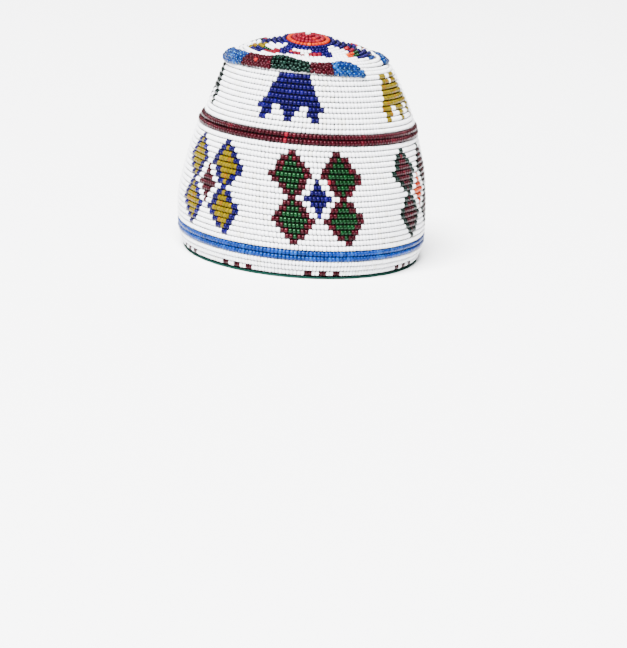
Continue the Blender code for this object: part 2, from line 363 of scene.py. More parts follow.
# Stitches over the edging: their slant, their length over the edging's height, their width and depth in it
# over the thread's width, and their tone over the cloth's
EDGING_STITCH_SLANT = 0.5
EDGING_STITCH_LENGTH = 0.9
EDGING_STITCH_WIDTH = 0.35
EDGING_STITCH_DEPTH = 0.27
EDGING_STITCH_TONE = 1.6

# Fibres of thread and of cloth: their darkest and lightest tone over their colour, the scale, detail and
# fineness of their pattern, how strongly they stand out, and how rough they are
Fibres = namedtuple("Fibres", "dark light scale detail fineness bump roughness")
THREAD_FIBRES = Fibres(0.55, 1.35, 2600.0, 4.0, 0.6, 0.5, 0.85)
CLOTH_FIBRES = Fibres(0.4, 2.0, 1800.0, 3.0, 0.5, 0.6, 0.9)
FIBRE_HEIGHT = 0.0002

# Surface of the glass: the streaks' share in a bead's tone, how much rougher the roughest beads are, how it
# bends light, and how strongly and how high its streaks stand out
STREAK_SHARE = 0.35
GLOSS_SPREAD = 0.12
GLASS_IOR = 1.52
GLASS_BUMP = 0.15
GLASS_HEIGHT = 0.0001

# How dark the darkest beads of a glass are, how far its beads differ, its roughness, the strength and colour
# of its highlights (weaker than clear glass has, as the surroundings are far brighter than the coloured
# beads), and the colour and share of a few odd beads
Glass = namedtuple("Glass", "deep spread roughness shine sparkle odd_colour odd_share")
GLASS = {
    "white": Glass(0.84, 0.4, 0.22, 0.14, (1.0, 1.0, 1.0), (0.62, 0.61, 0.58), 0.06),
    "blue": Glass(0.40, 0.9, 0.16, 0.22, (0.25, 0.62, 1.0), (0.002, 0.030, 0.16), 0.15),
    "maroon": Glass(0.40, 0.8, 0.18, 0.14, (1.0, 0.40, 0.50), (0.028, 0.0008, 0.003), 0.08),
    "green": Glass(0.45, 0.7, 0.16, 0.22, (0.30, 1.0, 0.48), (0.0005, 0.012, 0.002), 0.10),
    "dark_green": Glass(0.40, 0.8, 0.18, 0.12, (0.45, 1.0, 0.80), (0.0003, 0.004, 0.0025), 0.15),
    "indigo": Glass(0.50, 0.7, 0.17, 0.16, (0.38, 0.32, 1.0), (0.003, 0.0005, 0.050), 0.10),
    "yellow": Glass(0.50, 0.8, 0.18, 0.14, (1.0, 0.84, 0.03), (0.10, 0.036, 0.0), 0.06),
    "orange": Glass(0.60, 0.7, 0.20, 0.14, (1.0, 0.50, 0.20), (0.36, 0.050, 0.002), 0.15),
    "red": Glass(0.50, 0.7, 0.20, 0.14, (1.0, 0.32, 0.36), (0.20, 0.008, 0.008), 0.05),
    "turquoise": Glass(0.30, 0.9, 0.16, 0.32, (0.30, 0.75, 1.0), (0.001, 0.035, 0.16), 0.10),
}

# Camera: the point it is aimed by, where that point falls in the picture, and the size of a pixel there
PICTURE_WIDTH = 627
PICTURE_HEIGHT = 648
AIM_POINT = Vector((0.0005, 0.0, 0.0667))
AIM_PIXEL = (306.7, 149.4)
CAMERA_DISTANCE = 1.5
PIXEL_SIZE = 0.000655
CAMERA_DOWN = math.radians(13.85)
CAMERA_ROLL = math.radians(-4.10)
SENSOR_WIDTH = 36.0

# Stage: the large light above the front left, and the floor
KEY_LIGHT_SIZE = (10.2, 6.6)
KEY_LIGHT_PLACE = (-2.7, -7.2, 12.0)
FLOOR_ROUGHNESS = 0.7

RING_SAMPLES = 720
AROUND = np.arange(RING_SAMPLES) * (2 * math.pi / RING_SAMPLES)


def colour_setting(name, description, default):
    """Colour that a user can change."""
    return FloatVectorProperty(
        name=name, description=description, default=default, size=3, min=0.0, max=1.0, subtype="COLOR",
    )


class BeadSettings(bpy.types.PropertyGroup):
    """Sizes and colours of the glass beads"""

    diameter: FloatProperty(
        name="Bead Diameter", description="Thickness of a bead across its thread",
        default=0.00338, min=0.001, max=0.01, unit="LENGTH",
    )
    unevenness: FloatProperty(
        name="Unevenness", description="How much the beads differ in size and place",
        default=0.07, min=0.0, max=0.3, subtype="FACTOR",
    )
    sides: IntProperty(
        name="Sides", description="Faces round a bead",
        default=8, min=6, max=12,
    )
    white: colour_setting("White", "Chalk white glass of the ground", (0.70, 0.70, 0.725))
    blue: colour_setting("Blue", "Light blue glass of the hem band", (0.0010, 0.018, 0.150))
    maroon: colour_setting("Maroon", "Dark red glass", (0.017, 0.0004, 0.0019))
    green: colour_setting("Green", "Clear green glass", (0.0001, 0.0058, 0.0005))
    dark_green: colour_setting("Dark Green", "Green glass that is nearly black", (0.0, 0.0007, 0.0005))
    indigo: colour_setting("Indigo", "Deep violet blue glass", (0.0013, 0.0, 0.026))
    yellow: colour_setting("Yellow", "Mustard glass", (0.098, 0.068, 0.0))
    orange: colour_setting("Orange", "Orange glass", (0.27, 0.014, 0.0004))
    red: colour_setting("Red", "Coral red glass of the rosette", (0.110, 0.0022, 0.009))
    turquoise: colour_setting("Turquoise", "Sky blue glass of the crescents", (0.0005, 0.011, 0.090))


class SewingSettings(bpy.types.PropertyGroup):
    """Thread and cloth edging"""

    thread_width: FloatProperty(
        name="Thread Width", description="Thickness of the thread along and across the rows",
        default=0.0009, min=0.0002, max=0.002, unit="LENGTH",
    )
    # Near-black thread colour, partly painted shade: where the thread shows between beads it darkens the
    # gaps, grooves and corners as shadow would
    thread_and_gap_shade_colour: colour_setting("Thread", "Colour of the nylon thread", (0.003, 0.003, 0.003))
    cloth_colour: colour_setting("Edging", "Colour of the cloth edging", (0.003, 0.022, 0.016))
    stitch_spacing: FloatProperty(
        name="Stitch Spacing", description="Distance between the stitches over the edging",
        default=0.0042, min=0.001, max=0.02, unit="LENGTH",
    )


class StageSettings(bpy.types.PropertyGroup):
    """Floor, lights and camera"""

    floor_size: FloatProperty(
        name="Floor Size", description="Length of the floor's sides",
        default=12.0, min=1.0, max=50.0, unit="LENGTH",
    )
    floor_colour: colour_setting("Floor", "Colour of the floor", (0.92, 0.92, 0.93))
    key_power: FloatProperty(
        name="Key Light", description="Power of the large soft light above the front",
        default=21000.0, min=0.0, max=100000.0, unit="POWER",
    )
    sky_strength: FloatProperty(
        name="Sky", description="Strength of the even light from all round",
        default=0.5, min=0.0, max=10.0,
    )


# Shapes of the hat


def smooth_column(table, key, column, at):
    """Value of a table's column at a key, on a smooth curve through its rows."""
    keys = [getattr(row, key) for row in table]
    values = [getattr(row, column) for row in table]
    if at <= keys[0]:
        return values[0]
    if at >= keys[-1]:
        return values[-1]
    last = len(keys) - 1
    i = max(n for n in range(last) if keys[n] <= at)

    def slope(n):
        before, after = max(n - 1, 0), min(n + 1, last)
        return (values[after] - values[before]) / (keys[after] - keys[before])

    span = keys[i + 1] - keys[i]
    t = (at - keys[i]) / span
    rise = values[i + 1] - values[i]
    bend_in = slope(i) * span - rise
    bend_out = rise - slope(i + 1) * span
    return values[i] + t * rise + t * (1 - t) * ((1 - t) * bend_in + t * bend_out)


def unit(vectors):
    """Vectors of the same directions, one metre long."""
    return vectors / np.linalg.norm(vectors, axis=-1, keepdims=True)


def oval_points(half_width, oval, sway, height, angles):
    """Points of an oval ring; angle 0 is the front and 90 degrees is +X."""
    across = sway + half_width * np.sin(angles)
    ahead = -half_width * oval * np.cos(angles)
    return np.stack([across, ahead, np.broadcast_to(height, angles.shape)], axis=-1)


def rim_points(inset, height, angles):
    """Points at a distance inside the hat's rim."""
    base = SECTIONS[0]
    half_width = base.half_width - inset
    oval = (base.half_width * RIM_OVAL - inset) / half_width
    return oval_points(half_width, oval, base.sway, height, angles)


def wall_points(row, angles):
    """Points of the wall's outside at a number of bead rows above the hem."""
    half_width = smooth_column(SECTIONS, "row", "half_width", row)
    sway = smooth_column(SECTIONS, "row", "sway", row)
    height = smooth_column(SECTIONS, "row", "height", row)
    oval = RIM_OVAL + (TOP_OVAL - RIM_OVAL) * row / WALL_ROWS
    return oval_points(half_width, oval, sway, height, angles)


def crown_points(share, angles):
    """Points of the crown's outside at a share of the way from its middle to its edge."""
    side = smooth_column(CROWN, "share", "side_height", share)
    front = smooth_column(CROWN, "share", "front_height", share)
    back = smooth_column(CROWN, "share", "back_height", share)
    toward_front = np.cos(angles)
    height = side + (front - back) / 2 * toward_front + ((front + back) / 2 - side) * toward_front ** 2
    sway = CROWN_MIDDLE_SWAY + (CROWN_EDGE_SWAY - CROWN_MIDDLE_SWAY) * share
    oval = 1.0 + (TOP_OVAL - 1.0) * share
    return oval_points(CROWN_HALF_WIDTH * share, oval, sway, height, angles)


def dome_paths(angles):
    """Paths up the hat at some angles, from low on the wall's top over the shoulder to the middle,
    and their lengths from the top of the wall."""
    loops = [wall_points(row, angles) for row in range(DOME_LOW_ROW, WALL_ROWS + 1)]
    top, edge = loops[-1], crown_points(1.0, angles)
    flat = unit(np.stack([np.sin(angles) * TOP_OVAL, -np.cos(angles), np.zeros_like(angles)], axis=-1))
    climb = edge - top
    run = (climb * flat).sum(axis=-1, keepdims=True)
    outward = unit(flat * climb[:, 2:] - np.array([0.0, 0.0, 1.0]) * run)
    loops.append((top + edge) / 2 + outward * SHOULDER_BULGE)
    loops += [crown_points(1 - i / CROWN_STEPS, angles) for i in range(CROWN_STEPS + 1)]
    paths = np.array(loops)
    steps = np.linalg.norm(np.diff(paths, axis=0), axis=-1)
    lengths = np.concatenate([np.zeros((1, len(angles))), np.cumsum(steps, axis=0)])
    return paths, lengths - lengths[WALL_TOP_LOOP]


def dome_points(angles, distances):
    """Points at distances up from the top of the wall, over the shoulder and along the crown."""
    paths, lengths = dome_paths(angles)
    points = np.empty((len(angles), 3))
    for i, distance in enumerate(distances):
        for axis in range(3):
            points[i, axis] = np.interp(distance, lengths[:, i], paths[:, i, axis])
    return points


def dome_frame(angles, distances):
    """Points of the dome with the directions along a ring, up the hat and square to its outside."""
    turn, climb = 0.002, 0.0008
    here = dome_points(angles, distances)
    along = unit(dome_points(angles + turn, distances) - dome_points(angles - turn, distances))
    up = dome_points(angles, distances + climb) - dome_points(angles, distances - climb)
    out = unit(np.cross(along, up))
    return here, along, np.cross(out, along), out


def lengths_along(points):
    """Distance of each point from the first, along the line through them."""
    steps = np.linalg.norm(np.diff(points, axis=0), axis=1)
    return np.concatenate([[0.0], np.cumsum(steps)])


def leaf_section(leaf, angle):
    """Beginning, end and thickness of a crescent at an angle in degrees."""
    return [smooth_column(leaf.sections, "angle", column, angle) for column in ("low", "high", "thickness")]


class Ring:
    """A closed line that beads are strung on, with the way out at each of its points."""

    def __init__(self, points, outs):
        self.points = np.vstack([points, points[:1]])
        self.outs = np.vstack([outs, outs[:1]])
        self.distances = lengths_along(self.points)
        self.length = self.distances[-1]

    def distance_at(self, angle):
        """Distance round the ring at an angle, which may be past a full turn."""
        turns = math.floor(angle / (2 * math.pi))
        samples = (angle / (2 * math.pi) - turns) * RING_SAMPLES
        return turns * self.length + np.interp(samples, np.arange(RING_SAMPLES + 1), self.distances)

    def sample(self, distances):
        """Points, directions along and ways out at distances round the ring."""
        def pick(table, at):
            columns = [np.interp(at % self.length, self.distances, column) for column in table.T]
            return np.stack(columns, axis=1)

        step = self.length / RING_SAMPLES
        along = unit(pick(self.points, distances + step) - pick(self.points, distances - step))
        out = pick(self.outs, distances)
        out = unit(out - along * (out * along).sum(axis=1, keepdims=True))
        return pick(self.points, distances), along, out


def wall_ring(row, proud=0.0):
    """Line through the beads of one row of the wall."""
    middle = row - 0.5
    here = wall_points(middle, AROUND)
    along = np.roll(here, -1, axis=0) - np.roll(here, 1, axis=0)
    up = wall_points(middle + 0.5, AROUND) - wall_points(middle - 0.5, AROUND)
    out = unit(np.cross(along, up))
    return Ring(here + out * (proud - BEAD_DIAMETER / 2), out)


def crown_ring(number, proud=0.0):
    """Line through the beads of one ring of the crown, counted from the middle."""
    whole = dome_paths(AROUND)[1][-1]
    pitch = (whole - FIRST_RING_RADIUS - BEAD_DIAMETER / 2) / (CROWN_RINGS - 1)
    distances = whole - FIRST_RING_RADIUS - pitch * (number - 1)
    here, along, up, out = dome_frame(AROUND, distances)
    return Ring(here + out * (proud - BEAD_DIAMETER / 2), out)


# Stringing beads

Mark = namedtuple("Mark", "angle left middle right glass")
Bead = namedtuple("Bead", "distance length glass")


def row_marks(motifs, row):
    """Where the motifs stand in one row, in order round the hat, and the letters to each side of there."""
    marks = []
    for motif in motifs:
        step = row - motif.first_row
        text = motif.chart[step] if 0 <= step < len(motif.chart) else ""
        half = len(text) // 2
        left, middle, right = text[:half], text[half:len(text) - half], text[len(text) - half:]
        if "|" in text:
            left, middle, right = text.split("|")[0], "", text.split("|")[1]
        marks.append(Mark(motif.angle + motif.lean * step, left, middle, right, motif.glass))
    return sorted(marks, key=lambda mark: mark.angle)


def string_row(ring, marks, ground, bead_length):
    """Beads of one closed row: each mark's letters run out from its angle, and the ground fills the rest."""
    beads = []
    for mark, after in zip(marks, marks[1:] + marks[:1]):
        turn = 360.0 if after.angle <= mark.angle else 0.0
        start = ring.distance_at(math.radians(mark.angle))
        end = ring.distance_at(math.radians(after.angle + turn))
        half_way = ring.distance_at(math.radians((mark.angle + after.angle + turn) / 2))
        if mark.middle:
            beads.append(Bead(start, bead_length, mark.glass.get(mark.middle, ground)))
        for owner, origin, way in ((mark, start, 1), (after, end, -1)):
            letters = owner.right if way > 0 else owner.left[::-1]
            first = len(owner.middle) / 2
            room = abs(half_way - origin)
            count = max(round(room / bead_length - first), len(letters))
            pitch = room / (count + first)
            for j in range(count):
                glass = owner.glass.get(letters[j], ground) if j < len(letters) else ground
                beads.append(Bead(origin + way * (j + 0.5 + first) * pitch, pitch, glass))
    return beads


def wall_row(zone, row):
    """Line and beads of one row of the wall."""
    ring = wall_ring(row, zone.proud)
    return ring, string_row(ring, row_marks(zone.motifs, row), zone.ground, zone.bead_length)


def rosette_row(number):
    """Line and beads of one ring of the crown, counted from the middle."""
    ring = crown_ring(number)
    motifs = ROSETTE if number >= PETAL_RING else ROSETTE[:1]
    return ring, string_row(ring, row_marks(motifs, number), RING_GROUNDS[number - 1], CROWN_BEAD_LENGTH)


class Strands:
    """Places, directions, sizes and glass of many beads."""

    def __init__(self):
        self.middles, self.alongs, self.outs = [], [], []
        self.lengths, self.widths, self.wobbles = [], [], []
        self.glass = []

    def add_row(self, ring, beads, width, wobble=1.0):
        """Take in the beads of one ring, all of one width."""
        points, alongs, outs = ring.sample(np.array([bead.distance for bead in beads]))
        lengths = [bead.length for bead in beads]
        self.add(points, alongs, outs, lengths, width, wobble, [bead.glass for bead in beads])

    def add(self, middles, alongs, outs, lengths, width, wobble, glass):
        """Take in some beads; wobble is how much more uneven than the others they are."""
        self.middles.append(middles)
        self.alongs.append(alongs)
        self.outs.append(outs)
        self.lengths.append(lengths)
        self.widths.append(np.full(len(lengths), width))
        self.wobbles.append(np.full(len(lengths), wobble))
        self.glass += glass

    def names(self):
        """The kinds of glass that the beads have, in order."""
        return sorted(set(self.glass))

    def pick(self, name):
        """The beads of one glass, as arrays."""
        chosen = np.array(self.glass) == name
        tables = (self.middles, self.alongs, self.outs, self.lengths, self.widths, self.wobbles)
        return [np.concatenate(table)[chosen] for table in tables]


# Building blocks


def revolved(profile, sides):
    """Closed shape of revolution about X from points (along, radius), with flat ends."""
    form = bmesh.new()
    points = [form.verts.new((along, 0.0, radius)) for along, radius in profile]
    lines = [form.edges.new(pair) for pair in zip(points, points[1:])]
    bmesh.ops.spin(
        form, geom=points + lines, cent=(0.0, 0.0, 0.0), axis=(1.0, 0.0, 0.0),
        angle=2 * math.pi, steps=sides, use_merge=True,
    )
    bmesh.ops.remove_doubles(form, verts=form.verts, dist=1e-6)
    rims = [edge for edge in form.edges if edge.is_boundary]
    bmesh.ops.holes_fill(form, edges=rims, sides=0)
    bmesh.ops.recalc_face_normals(form, faces=form.faces)
    form.verts.index_update()
    return form


def bead_form(sides):
    """Bead of unit length and diameter: a short rod with well rounded rims."""
    return revolved([(-along, radius) for along, radius in BEAD_RIMS] + list(reversed(BEAD_RIMS)), sides)


def stitch_form():
    """Short stitch of unit length that bows out in its middle."""
    form = revolved(((-0.5, 0.5), (0.0, 0.5), (0.5, 0.5)), STITCH_SIDES)
    for vert in form.verts:
        vert.co.z += STITCH_BOW * (1 - (2 * vert.co.x) ** 2)
    return form


def copies_mesh(name, form, middles, alongs, outs, lengths, widths, tones):
    """One mesh of many copies of a small form, each with a tone of its own."""
    shape = np.array([vert.co for vert in form.verts])
    corners = np.array([vert.index for face in form.faces for vert in face.verts])
    face_sizes = np.array([len(face.verts) for face in form.faces])
    form.free()
    sides = np.cross(outs, alongs)
    points = (
        middles[:, None]
        + shape[None, :, 0:1] * (alongs * lengths[:, None])[:, None]
        + shape[None, :, 1:2] * (sides * widths[:, None])[:, None]
        + shape[None, :, 2:3] * (outs * widths[:, None])[:, None]
    )
    count = len(middles)
    all_corners = corners[None] + len(shape) * np.arange(count)[:, None]
    starts = np.concatenate([[0], np.cumsum(np.tile(face_sizes, count))[:-1]])
    mesh = bpy.data.meshes.new(name)
    mesh.vertices.add(count * len(shape))
    mesh.vertices.foreach_set("co", points.astype(np.float32).ravel())
    mesh.loops.add(all_corners.size)
    mesh.loops.foreach_set("vertex_index", all_corners.astype(np.int32).ravel())
    mesh.polygons.add(len(starts))
    mesh.polygons.foreach_set("loop_start", starts.astype(np.int32))
    mesh.update(calc_edges=True)
    mesh.validate()
    mesh.shade_smooth()
    tone = mesh.attributes.new("tone", "FLOAT", "POINT")
    tone.data.foreach_set("value", np.repeat(tones, len(shape)).astype(np.float32))
    return mesh


def show_piece(name, mesh, material, slot, *nodes):
    """Put a finished mesh in the scene as a piece of the hat."""
    mesh.materials.append(material)
    piece = bpy.data.objects.new(name, mesh)
    bpy.context.scene.collection.objects.link(piece)
    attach(piece, BODY)
    if nodes:
        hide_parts(*nodes)
    return piece


def show_beads(name, node, strands, settings, random):
    """One piece for each glass of a group of strands."""
    for glass in strands.names():
        middles, alongs, outs, lengths, widths, wobbles = strands.pick(glass)
        count = len(middles)
        uneven = settings.unevenness * wobbles
        sides = np.cross(outs, alongs)

        def shift(amount):
            return random.uniform(-amount, amount, count)[:, None]

        middles = middles + alongs * shift(STRAY.along) * (lengths * uneven)[:, None]
        middles += outs * shift(STRAY.out) * (widths * uneven)[:, None]
        middles += sides * shift(STRAY.across) * (widths * uneven)[:, None]
        tilt = outs * shift(STRAY.tilt_out) * uneven[:, None]
        alongs = unit(alongs + tilt + sides * shift(STRAY.tilt_across) * uneven[:, None])
        outs = unit(outs - alongs * (outs * alongs).sum(axis=1, keepdims=True))
        change = np.minimum(uneven, STRAY.most)
        lengths = lengths * (1 + random.uniform(-STRAY.shorter, STRAY.longer, count) * change)
        widths = widths * (1 + random.uniform(-STRAY.width, STRAY.width, count) * change)
        mesh = copies_mesh(
            f"{name}_{glass}_beads", bead_form(settings.sides), middles, alongs, outs,
            lengths, widths, random.uniform(0, 1, count),
        )
        show_piece(mesh.name, mesh, glass_material(glass, settings), f"{glass}_glass", node)


# Finishes


def new_group(name, inputs, outputs):
    """Empty node group with named sockets, as name: (socket type, default) pairs."""
    group = bpy.data.node_groups.new(name, "ShaderNodeTree")
    for socket, (kind, default) in inputs.items():
        made = group.interface.new_socket(name=socket, in_out="INPUT", socket_type=kind)
        made.default_value = default
    for socket, kind in outputs.items():
        group.interface.new_socket(name=socket, in_out="OUTPUT", socket_type=kind)
    return group


def add_node(tree, kind, **values):
    """New node with its settings and unlinked inputs given by name."""
    node = tree.nodes.new(kind)
    for name, value in values.items():
        if hasattr(node, name) and name != "inputs":
            setattr(node, name, value)
    for name, value in values.get("inputs", {}).items():
        node.inputs[name].default_value = value
    return node


def math_node(tree, operation, *operands, clamp=False):
    """Output of a math node; each operand is a number or the output that feeds it."""
    node = add_node(tree, "ShaderNodeMath", operation=operation, use_clamp=clamp)
    for socket, operand in zip(node.inputs, operands):
        if isinstance(operand, bpy.types.NodeSocket):
            tree.links.new(operand, socket)
        else:
            socket.default_value = operand
    return node.outputs[0]


def mixed_colour(tree, factor, first, second):
    """Output of a node that mixes two colours, all three given as outputs."""
    node = add_node(tree, "ShaderNodeMix", data_type="RGBA")
    tree.links.new(factor, node.inputs["Factor"])
    tree.links.new(first, node.inputs["A"])
    tree.links.new(second, node.inputs["B"])
    return node.outputs["Result"]


def shade(colour, factor=1.0):
    """Full-strength value of a colour made darker or lighter."""
    return (*[min(part * factor, 1.0) for part in colour], 1.0)


def bead_glass_group():
    """Colour, roughness and height of a bead: its own tone, faint streaks, and now and then another melt."""
    found = bpy.data.node_groups.get("Bead Glass")
    if found:
        return found
    group = new_group(
        "Bead Glass",
        {
            "Colour": ("NodeSocketColor", (1, 1, 1, 1)),
            "Deep Colour": ("NodeSocketColor", (0, 0, 0, 1)),
            "Odd Colour": ("NodeSocketColor", (1, 1, 1, 1)),
            "Odd Share": ("NodeSocketFloat", 0.0),
            "Tone Spread": ("NodeSocketFloat", 0.5),
            "Roughness": ("NodeSocketFloat", 0.2),
        },
        {"Colour": "NodeSocketColor", "Roughness": "NodeSocketFloat", "Height": "NodeSocketFloat"},
    )
    links = group.links
    enter = group.nodes.new("NodeGroupInput").outputs
    leave = group.nodes.new("NodeGroupOutput").inputs
    tone = add_node(group, "ShaderNodeAttribute", attribute_name="tone").outputs["Fac"]
    place = group.nodes.new("ShaderNodeTexCoord")
    noise = add_node(group, "ShaderNodeTexNoise", inputs={"Scale": 700.0, "Detail": 2.0, "Roughness": 0.5})
    links.new(place.outputs["Object"], noise.inputs["Vector"])
    streaks = noise.outputs["Fac"]
    blend = math_node(group, "MULTIPLY_ADD", streaks, STREAK_SHARE, tone)
    share = math_node(group, "MULTIPLY", blend, enter["Tone Spread"], clamp=True)
    odd = math_node(group, "LESS_THAN", tone, enter["Odd Share"])
    melt = mixed_colour(group, odd, enter["Colour"], enter["Odd Colour"])
    links.new(mixed_colour(group, share, melt, enter["Deep Colour"]), leave["Colour"])
    links.new(math_node(group, "MULTIPLY_ADD", tone, GLOSS_SPREAD, enter["Roughness"]), leave["Roughness"])
    links.new(streaks, leave["Height"])
    return group


def fibre_group():
    """Colour and height of spun fibres, with a weave laid over them where a piece has one."""
    found = bpy.data.node_groups.get("Fibres")
    if found:
        return found
    group = new_group(
        "Fibres",
        {
            "Dark Colour": ("NodeSocketColor", (0, 0, 0, 1)),
            "Light Colour": ("NodeSocketColor", (1, 1, 1, 1)),
            "Weave": ("NodeSocketFloat", 1.0),
            "Scale": ("NodeSocketFloat", 2000.0),
            "Detail": ("NodeSocketFloat", 3.0),
            "Fineness": ("NodeSocketFloat", 0.5),
        },
        {"Colour": "NodeSocketColor", "Height": "NodeSocketFloat"},
    )
    links = group.links
    enter = group.nodes.new("NodeGroupInput").outputs
    leave = group.nodes.new("NodeGroupOutput").inputs
    place = group.nodes.new("ShaderNodeTexCoord")
    noise = group.nodes.new("ShaderNodeTexNoise")
    links.new(place.outputs["Object"], noise.inputs["Vector"])
    links.new(enter["Scale"], noise.inputs["Scale"])
    links.new(enter["Detail"], noise.inputs["Detail"])
    links.new(enter["Fineness"], noise.inputs["Roughness"])
    height = math_node(group, "MULTIPLY", enter["Weave"], noise.outputs["Fac"])
    links.new(mixed_colour(group, height, enter["Dark Colour"], enter["Light Colour"]), leave["Colour"])
    links.new(height, leave["Height"])
    return group


def new_material(name):
    """Empty material with its node tree and its shader."""
    material = bpy.data.materials.new(name)
    material.use_nodes = True
    return material, material.node_tree, material.node_tree.nodes["Principled BSDF"]


def cover(tree, shader, group, bump, height):
    """Feed the colour and height that a group puts out into a shader."""
    bumps = add_node(tree, "ShaderNodeBump", inputs={"Strength": bump, "Distance": height})
    tree.links.new(group.outputs["Colour"], shader.inputs["Base Color"])
    tree.links.new(group.outputs["Height"], bumps.inputs["Height"])
    tree.links.new(bumps.outputs["Normal"], shader.inputs["Normal"])


def glass_material(glass, settings):
    """Material of one glass, made once."""
    name = f"{glass}_seed_beads"
    found = bpy.data.materials.get(name)
    if found:
        return found
    values = GLASS[glass]
    colour = getattr(settings, glass)
    material, tree, shader = new_material(name)
    group = add_node(
        tree, "ShaderNodeGroup", node_tree=bead_glass_group(),
        inputs={
            "Colour": shade(colour),
            "Deep Colour": shade(colour, values.deep),
            "Odd Colour": shade(values.odd_colour),
            "Odd Share": values.odd_share,
            "Tone Spread": values.spread,
            "Roughness": values.roughness,
        },
    )
    cover(tree, shader, group, GLASS_BUMP, GLASS_HEIGHT)
    tree.links.new(group.outputs["Roughness"], shader.inputs["Roughness"])
    shader.inputs["IOR"].default_value = GLASS_IOR
    shader.inputs["Specular IOR Level"].default_value = values.shine
    shader.inputs["Specular Tint"].default_value = shade(values.sparkle)
    return material


def add_fibres(tree, shader, colour, fibres):
    """Give a shader the look of fibres; returns the group that makes them."""
    group = add_node(
        tree, "ShaderNodeGroup", node_tree=fibre_group(),
        inputs={
            "Dark Colour": shade(colour, fibres.dark),
            "Light Colour": shade(colour, fibres.light),
            "Scale": fibres.scale,
            "Detail": fibres.detail,
            "Fineness": fibres.fineness,
        },
    )
    cover(tree, shader, group, fibres.bump, FIBRE_HEIGHT)
    shader.inputs["Roughness"].default_value = fibres.roughness
    shader.inputs["Specular IOR Level"].default_value = THREAD_SHINE
    return group


def thread_material(name, colour):
    """Dull twisted thread."""
    material, tree, shader = new_material(name)
    add_fibres(tree, shader, colour, THREAD_FIBRES)
    return material


def cloth_material(name, colour):
    """Plain woven cotton tape: threads up the tape cross the threads that run round the hat."""
    material, tree, shader = new_material(name)
    place = tree.nodes.new("ShaderNodeTexCoord")
    turn = add_node(tree, "ShaderNodeTexGradient", gradient_type="RADIAL")
    tree.links.new(place.outputs["Object"], turn.inputs["Vector"])
    upright = math_node(tree, "MULTIPLY", turn.outputs["Fac"], 2 * math.pi * CLOTH_THREADS_ROUND)
    split = tree.nodes.new("ShaderNodeSeparateXYZ")
    tree.links.new(place.outputs["Object"], split.inputs[0])
    level = math_node(tree, "MULTIPLY", split.outputs["Z"], 2 * math.pi / CLOTH_THREAD_PITCH)
    waves = [math_node(tree, "SINE", part) for part in (upright, level)]
    weave = math_node(tree, "MULTIPLY_ADD", math_node(tree, "MULTIPLY", *waves), 0.5, 0.5)
    fibres = add_fibres(tree, shader, colour, CLOTH_FIBRES)
    tree.links.new(weave, fibres.inputs["Weave"])
    return material


# Pieces


def row_threads(rings, width):
    """Mesh of the threads that run along some rings."""
    curve = bpy.data.curves.new("threads", "CURVE")
    curve.dimensions = "3D"
    curve.bevel_depth = width / 2
    curve.bevel_resolution = 0
    curve.use_fill_caps = False
    for ring in rings:
        count = max(FEWEST_THREAD_STEPS, round(ring.length / THREAD_STEP))
        points = ring.sample(np.arange(count) * ring.length / count)[0]
        spline = curve.splines.new("POLY")
        spline.points.add(count - 1)
        spline.points.foreach_set("co", np.hstack([points, np.ones((count, 1))]).ravel())
        spline.use_cyclic_u = True
    holder = bpy.data.objects.new("threads", curve)
    bpy.context.scene.collection.objects.link(holder)
    shown = holder.evaluated_get(bpy.context.evaluated_depsgraph_get())
    mesh = bpy.data.meshes.new_from_object(shown)
    bpy.data.objects.remove(holder)
    bpy.data.curves.remove(curve)
    return mesh


def binding_mesh():
    """Folded cloth tape under the rim, softly waved along its length."""
    radius = SECTIONS[0].half_width
    form = bmesh.new()
    bmesh.ops.create_grid(form, x_segments=1, y_segments=1, size=0.5)
    bmesh.ops.scale(form, vec=(BINDING_WIDTH, BINDING_HEIGHT, 1.0), verts=form.verts)
    bmesh.ops.bevel(
        form, geom=form.verts[:], offset=BINDING_HEIGHT * BINDING_ROUNDING, segments=3, profile=0.5,
        affect="VERTICES", material=-1,
    )
    bmesh.ops.rotate(form, cent=(0, 0, 0), matrix=Matrix.Rotation(math.pi / 2, 3, "X"), verts=form.verts)
    bmesh.ops.delete(form, geom=form.faces[:], context="FACES_ONLY")
    bmesh.ops.translate(form, vec=(radius, 0.0, BINDING_HEIGHT / 2), verts=form.verts)
    bmesh.ops.spin(
        form, geom=form.verts[:] + form.edges[:], cent=(0.0, 0.0, 0.0), axis=(0.0, 0.0, 1.0),
        angle=2 * math.pi, steps=BINDING_SEGMENTS, use_merge=True,
    )
    bmesh.ops.remove_doubles(form, verts=form.verts, dist=1e-7)
    for vert in form.verts:
        place = vert.co
        angle = math.atan2(place.x, -place.y)
        across = math.hypot(place.x, place.y) - radius
        wave = sum(wave.size * math.sin(wave.count * angle + wave.start) for wave in BINDING_WAVES)
        inset = BINDING_INSET + BINDING_WIDTH / 2 - across + wave
        point = rim_points(inset, place.z, np.array([angle]))[0]
        lift = BINDING_LIFT.size * math.sin(BINDING_LIFT.count * angle) * place.z / BINDING_HEIGHT
        vert.co = Vector(point) + Vector((0.0, 0.0, lift))
    bmesh.ops.recalc_face_normals(form, faces=form.faces)
    mesh = bpy.data.meshes.new("hem_binding_cloth")
    form.to_mesh(mesh)
    form.free()
    mesh.shade_smooth()
    return mesh


class HAT_OT_string_wall(bpy.types.Operator):
    """String the rows of beads of the wall, from the hem to the shoulder"""

    bl_idname = "beaded_hat.string_wall"
    bl_label = "String Wall Rows"

    def execute(self, context):
        settings = context.scene.hat_beads
        random = np.random.default_rng(SEED)
        for zone in ZONES:
            strands = Strands()
            for row in range(zone.first_row, zone.last_row + 1):
                strands.add_row(*wall_row(zone, row), settings.diameter * zone.swell)
            show_beads(zone.name, zone.node, strands, settings, random)
        return {"FINISHED"}


